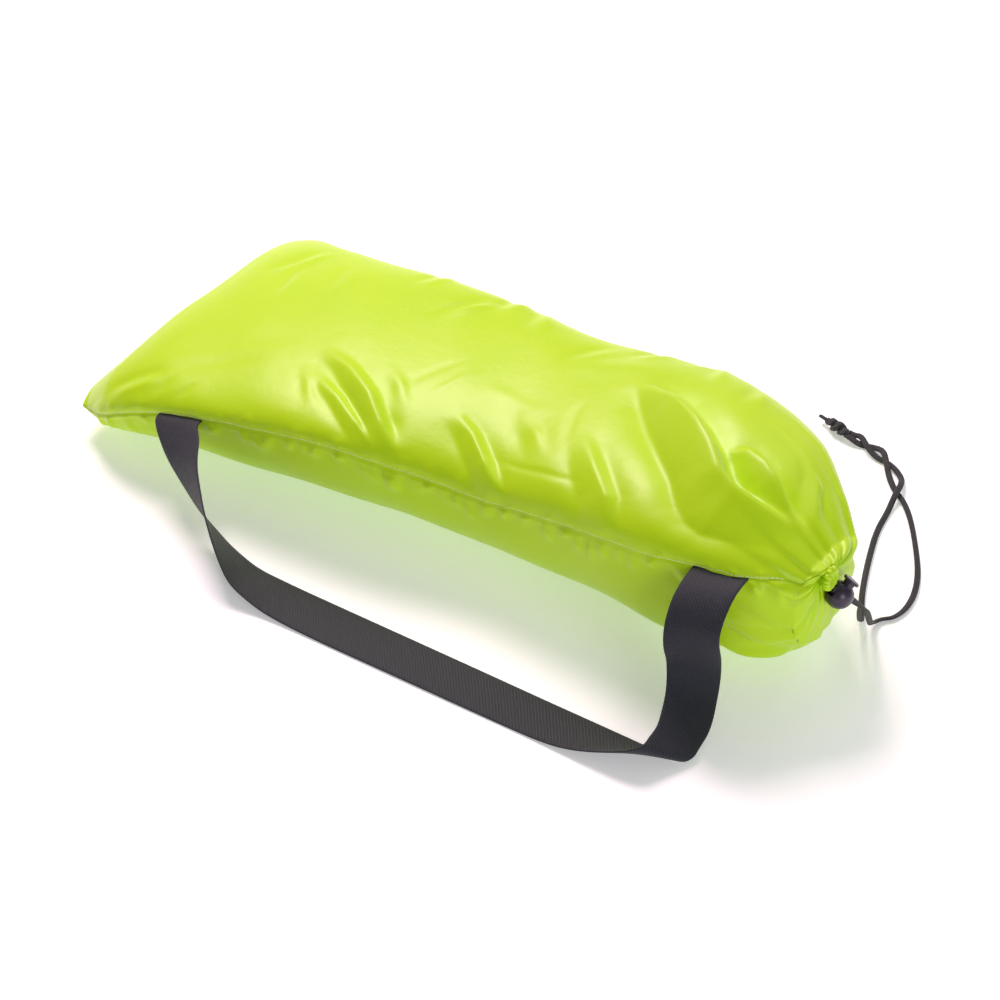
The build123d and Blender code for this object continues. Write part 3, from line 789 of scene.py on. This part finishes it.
# Stations of the strap's two edges, from the left seam to the right seam: outer/far edge, inner/near edge
STRAP_EDGES = (
    ((-201, -111, 57), (-163, -109, 64)),
    ((-201, -114, 57), (-163, -112.5, 64.3)),
    ((-200.5, -119, 56), (-162, -117, 64)),
    ((-196, -124.5, 52.5), (-158.5, -121.5, 63.5)),
    ((-188, -130, 48.5), (-153, -128, 62.5)),
    ((-177, -136, 42.5), (-146, -139, 61)),
    ((-165, -141, 36), (-138, -150, 57.5)),
    ((-151, -146, 28), (-127, -161, 51)),
    ((-135, -151, 19.5), (-115, -172, 43)),
    ((-121, -154, 14), (-105, -180, 36)),
    ((-107, -157, 9), (-95, -187, 29)),
    ((-91, -159.5, 5), (-85, -193, 22)),
    ((-77, -161, 2.5), (-75, -196.5, 14.5)),
    ((-60, -161, 1.3), (-61, -198, 8.5)),
    ((-42, -161, 0.9), (-45, -198.5, 4)),
    ((-10, -161, 0.9), (-12, -199, 1.3)),
    ((40, -161, 0.9), (40, -199, 0.9)),
    ((110, -161, 0.9), (110, -199, 0.9)),
    ((170, -161, 0.9), (165, -199, 0.9)),
    ((205, -161, 0.9), (198, -198.5, 3.5)),
    ((240, -161.5, 1.0), (225, -195.5, 11)),
    ((262, -162, 1.2), (243, -191.5, 18)),
    ((274, -161, 2.2), (250, -187, 20.8)),
    ((277, -155, 3.2), (252, -180, 21.6)),
    ((275.5, -147, 3.4), (251, -171, 21)),
    ((274, -134, 5), (249, -160, 21)),
    ((271, -124, 9.5), (246, -149, 23)),
    ((267, -113, 15), (242, -139, 29)),
    ((265, -106, 23), (238, -132, 38)),
    ((265, -105, 36), (236, -130, 50)),
    ((268, -113, 55), (236, -132, 60)),
    ((271, -122, 78), (235, -129, 80)),
    ((271.5, -113, 94), (233.5, -118, 95)),
    ((271, -102, 101), (233, -106, 100)),
    ((270.5, -92, 102.5), (232.5, -97, 101.5)),
    ((270, -85, 103), (232.5, -90, 102)),
)


def spline_through(points, count):
    """A smooth curve through points, with centripetal spacing, at even steps."""
    points = np.array(points, float)
    knots = np.concatenate([[0], np.cumsum(np.linalg.norm(np.diff(points, axis=0), axis=1) ** 0.5)])
    at = np.linspace(0, knots[-1], count)
    second = np.zeros_like(points)
    size = len(points)
    matrix = np.zeros((size, size))
    target = np.zeros_like(points)
    matrix[0, 0] = matrix[-1, -1] = 1
    step = np.diff(knots)
    for k in range(1, size - 1):
        matrix[k, k - 1 : k + 2] = step[k - 1], 2 * (step[k - 1] + step[k]), step[k]
        target[k] = 6 * ((points[k + 1] - points[k]) / step[k] - (points[k] - points[k - 1]) / step[k - 1])
    second = np.linalg.solve(matrix, target)
    index = np.clip(np.searchsorted(knots, at) - 1, 0, size - 2)
    h = step[index][:, None]
    left, right = (knots[index + 1] - at)[:, None], (at - knots[index])[:, None]
    m0, m1 = second[index], second[index + 1]
    p0, p1 = points[index], points[index + 1]
    cubic = (m0 * left**3 + m1 * right**3) / (6 * h)
    return cubic + (p0 / h - m0 * h / 6) * left + (p1 / h - m1 * h / 6) * right


def strap_mesh():
    """The carry strap as one closed ribbon, with rounded woven edges."""
    rows = 620
    outer = spline_through([pair[0] for pair in STRAP_EDGES], rows)
    inner = spline_through([pair[1] for pair in STRAP_EDGES], rows)
    centre = (outer + inner) / 2
    across = outer - inner
    across /= np.linalg.norm(across, axis=1, keepdims=True)
    along = np.gradient(centre, axis=0)
    along /= np.linalg.norm(along, axis=1, keepdims=True)
    facing = np.cross(along, across)
    facing /= np.linalg.norm(facing, axis=1, keepdims=True)
    travelled = np.concatenate([[0], np.cumsum(np.linalg.norm(np.diff(centre, axis=0), axis=1))])
    half, thick = STRAP_WIDTH / 2, STRAP_THICKNESS / 2
    profile = []
    for share in np.linspace(-1, 1, 21):
        edge = thick * (1 - 0.35 * abs(share) ** 10)
        profile.append((share * (half - 0.2), edge))
    profile.append((half, thick * 0.35))
    profile.append((half, -thick * 0.35))
    for share in np.linspace(1, -1, 21):
        profile.append((share * (half - 0.2), -thick * (1 - 0.35 * abs(share) ** 10)))
    profile.append((-half, -thick * 0.35))
    profile.append((-half, thick * 0.35))
    profile = np.array(profile)
    rings = centre[:, None] + across[:, None] * profile[None, :, :1] + facing[:, None] * profile[None, :, 1:]
    count = len(profile)
    uv = np.stack([np.repeat(travelled[:, None], count, 1), np.repeat(profile[None, :, 0], rows, 0)], -1) * MM
    points = rings.reshape(-1, 3)
    points[:, 2] = np.maximum(points[:, 2], 0.12)
    faces = grid_faces(rows, count, True)
    faces.append(tuple(range(count)))
    faces.append(tuple((rows - 1) * count + k for k in reversed(range(count))))
    made = new_mesh("carry_strap_webbing", points, faces, STRAP, None, uv.reshape(-1, 2))
    return made


strap = strap_mesh()
lift_joint = next(joint for joint in frame["joints"] if joint["name"] == "strap_lift")
hinge_axis = Vector(lift_joint["axis"]).normalized()
outward_from_hinge = Vector((0, -1, 0)) - hinge_axis * hinge_axis.dot(Vector((0, -1, 0)))
outward_from_hinge.normalize()
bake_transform(strap)
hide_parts("carry_strap", "strap_end_left", "strap_end_right")


# ---------------------------------------------------------------- drawcord
CORD_WIDTH, CORD_HEIGHT = 0.0044, 0.0024
LOW, OVER = 0.0018, 0.0057
ROUTE_A = [
    (0.3063, -0.0417, 0.0856),
    (0.3184, -0.0173, 0.0585),
    (0.308, 0.0, 0.035),
    (0.301, 0.016, 0.013),
    (0.2935, 0.032, LOW),
    (0.283, 0.050, LOW),
    (0.273, 0.072, LOW),
    (0.263, 0.097, LOW),
    (0.254, 0.122, LOW),
    (0.2495, 0.146, LOW),
    (0.2465, 0.160, OVER),
    (0.244, 0.174, OVER),
    (0.238, 0.186, LOW),
    (0.224, 0.1955, LOW),
    (0.211, 0.196, LOW),
    (0.200, 0.2005, OVER),
    (0.191, 0.2085, OVER),
    (0.1858, 0.2060, 0.0057),
    (0.1815, 0.2072, 0.0057),
]
ROUTE_B = [
    (0.3097, -0.0435, 0.0855),
    (0.3218, -0.0191, 0.0584),
    (0.3145, 0.0, 0.036),
    (0.309, 0.015, 0.016),
    (0.3035, 0.028, 0.004),
    (0.305, 0.0385, LOW),
    (0.3115, 0.044, LOW),
    (0.314, 0.057, LOW),
    (0.311, 0.075, LOW),
    (0.302, 0.096, LOW),
    (0.286, 0.121, LOW),
    (0.268, 0.146, LOW),
    (0.254, 0.1615, LOW),
    (0.241, 0.170, LOW),
    (0.229, 0.1825, LOW),
    (0.2215, 0.192, OVER),
    (0.2135, 0.202, OVER),
    (0.204, 0.2065, LOW),
    (0.194, 0.203, LOW),
    (0.1848, 0.2023, 0.0057),
    (0.1805, 0.2036, 0.0057),
]


def cord_line(route):
    """Points along the smooth line of a cord's route."""
    curve = bpy.data.curves.new("cord_route", "CURVE")
    curve.dimensions = "3D"
    curve.resolution_u = 24
    spline = curve.splines.new("NURBS")
    spline.points.add(len(route) - 1)
    for point, place in zip(spline.points, route):
        point.co = (*place, 1)
    spline.order_u = 3
    spline.use_endpoint_u = True
    carrier = bpy.data.objects.new("cord_route", curve)
    mesh = bpy.data.meshes.new_from_object(carrier)
    line = np.array([v.co for v in mesh.vertices], float)
    bpy.data.objects.remove(carrier)
    bpy.data.curves.remove(curve)
    bpy.data.meshes.remove(mesh)
    return line


def even_line(line, step):
    travelled = np.concatenate([[0], np.cumsum(np.linalg.norm(np.diff(line, axis=0), axis=1))])
    at = np.linspace(0, travelled[-1], int(travelled[-1] / step) + 1)
    return np.stack([np.interp(at, travelled, line[:, k]) for k in range(3)], 1), at


def flat_tube(name, line, width, thickness, twist, sides=20, step=0.00045):
    """A flat braided cord that lies on its wide side.

    twist(travelled) turns it about its line, in radians."""
    centre, at = even_line(line, step)
    window = np.ones(9) / 9
    padded = [np.pad(centre[:, k], 4, "edge") for k in range(3)]
    smooth = np.stack([np.convolve(values, window, "valid") for values in padded], 1)
    along = np.gradient(smooth, axis=0)
    along /= np.linalg.norm(along, axis=1, keepdims=True)
    level = np.cross(np.array([0, 0, 1.0]), along)
    level /= np.maximum(np.linalg.norm(level, axis=1, keepdims=True), 1e-6)
    for k in range(1, len(level)):
        if level[k] @ level[k - 1] < 0:
            level[k] *= -1
    upright = np.cross(along, level)
    roll = twist(at)[:, None]
    side = level * np.cos(roll) + upright * np.sin(roll)
    top = upright * np.cos(roll) - level * np.sin(roll)
    around = np.linspace(0, 2 * pi, sides, endpoint=False)
    yarn = np.sin(around[None] * 4 + at[:, None] * 1500) * np.sin(around[None] * 4 - at[:, None] * 1500)
    size = 1 + 0.07 * yarn
    across = np.sign(np.cos(around)) * np.abs(np.cos(around)) ** 0.8
    ring = centre[:, None] + side[:, None] * (across * width / 2)[None, :, None] * size[..., None]
    ring = ring + top[:, None] * (np.sin(around) * thickness / 2)[None, :, None] * size[..., None]
    rows = len(centre)
    points = ring.reshape(-1, 3)
    faces = grid_faces(rows, sides, True)
    faces.append(tuple(range(sides)))
    faces.append(tuple((rows - 1) * sides + k for k in reversed(range(sides))))
    uv_along = np.repeat(at[:, None] * 900, sides, 1)
    uv_around = np.repeat((around / (2 * pi) * 8)[None], rows, 0)
    uv = np.stack([uv_along, uv_around], -1)
    faces = [tuple(reversed(f)) for f in faces]
    return new_mesh(name, points / MM, faces, CORD, "bag", uv.reshape(-1, 2))


line_a, line_b = cord_line(ROUTE_A), cord_line(ROUTE_B)


def twist_a(at):
    """Turns the inner strand upright at the lock and lets it rock gently further on."""
    return 1.2 * ease(1 - at / 0.07) + 0.35 * np.sin(at * 33)


def twist_b(at):
    """The same for the outer strand, with a rocking of its own."""
    return 1.2 * ease(1 - at / 0.07) + 0.5 * np.sin(at * 27 + 2)


strand_a = flat_tube("drawcord_inner_strand", line_a, CORD_WIDTH, CORD_HEIGHT, twist_a)
strand_b = flat_tube("drawcord_outer_strand", line_b, CORD_WIDTH, CORD_HEIGHT, twist_b)
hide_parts("drawcord_strand_a")
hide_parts("drawcord_strand_b")

KNOT = Vector((0.181, 0.2054, 0.0057))
KNOT_DIRECTION = Vector((-0.96, 0.28, 0)).normalized()
KNOT_SIDE = Vector((0.28, 0.96, 0)).normalized()


def knot_mesh():
    """Both strands thrown together in an overhand knot, as one twisted roll of turns."""
    share = np.linspace(0, 1, 420)
    swell = np.sin(pi * np.clip(share * 0.94 + 0.03, 0, 1)) ** 0.6
    loops = 2 * pi * 2.6 * share
    radius = 0.0032 * swell
    lengthwise = 0.0185 * share + 0.0012 * np.sin(loops * 2)
    ahead, side, up = np.array(KNOT_DIRECTION), np.array(KNOT_SIDE), np.array([0, 0, 1.0])
    line = np.array(KNOT) + np.outer(lengthwise, ahead) + np.outer(radius * np.cos(loops), side)
    line = line + np.outer(radius * np.sin(loops) * 0.95, up)
    line[:, 2] = np.maximum(line[:, 2], 0.0019)
    return line


knot = flat_tube("drawcord_knot_turns", knot_mesh(), 0.0046, 0.0034, lambda at: 0.0 * at, step=0.0004)
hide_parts("drawcord_knot")
core_line = np.array([np.array(KNOT) + np.array(KNOT_DIRECTION) * t for t in np.linspace(-0.002, 0.021, 24)])
core = flat_tube("drawcord_knot_core", core_line, 0.0050, 0.0040, lambda at: 0.0 * at)
tail_start = np.array(KNOT) + np.array(KNOT_DIRECTION) * 0.0195
tail_line = np.array(
    [
        tail_start + np.array(KNOT_DIRECTION) * t + np.array([0, 6 * t * t, -8 * t * t])
        for t in np.linspace(0, 0.009, 12)
    ]
)
tail_line[:, 2] = np.maximum(tail_line[:, 2], 0.0016)
tail = flat_tube("drawcord_tail_end", tail_line, 0.0040, 0.0024, lambda at: 0.5 + 0.0 * at)
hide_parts("drawcord_tail")

for side in ("left", "right"):
    node = frame["nodes"]["strap_stitching_" + side]
    node.data.materials.clear()
    node.data.materials.append(STRAP_THREAD.material)

# ---------------------------------------------------------------- floor
floor_data = bpy.data.meshes.new("floor")
FLOOR = 6.0
floor_corners = [(-FLOOR, -FLOOR, 0), (FLOOR, -FLOOR, 0), (FLOOR, FLOOR, 0), (-FLOOR, FLOOR, 0)]
floor_data.from_pydata(floor_corners, [], [(0, 1, 2, 3)])
floor = bpy.data.objects.new("floor", floor_data)
scene.collection.objects.link(floor)
floor.location.z = -0.0002
paper = Nodes("floor_paper", (0.93, 0.93, 0.93), 0.9)
paper.shader.inputs["Emission Color"].default_value = (1, 1, 1, 1)
paper.shader.inputs["Emission Strength"].default_value = 0.3
paper.bump(paper.noise(300.0, 2.0), 0.02, 0.0005)
floor_data.materials.append(paper.material)
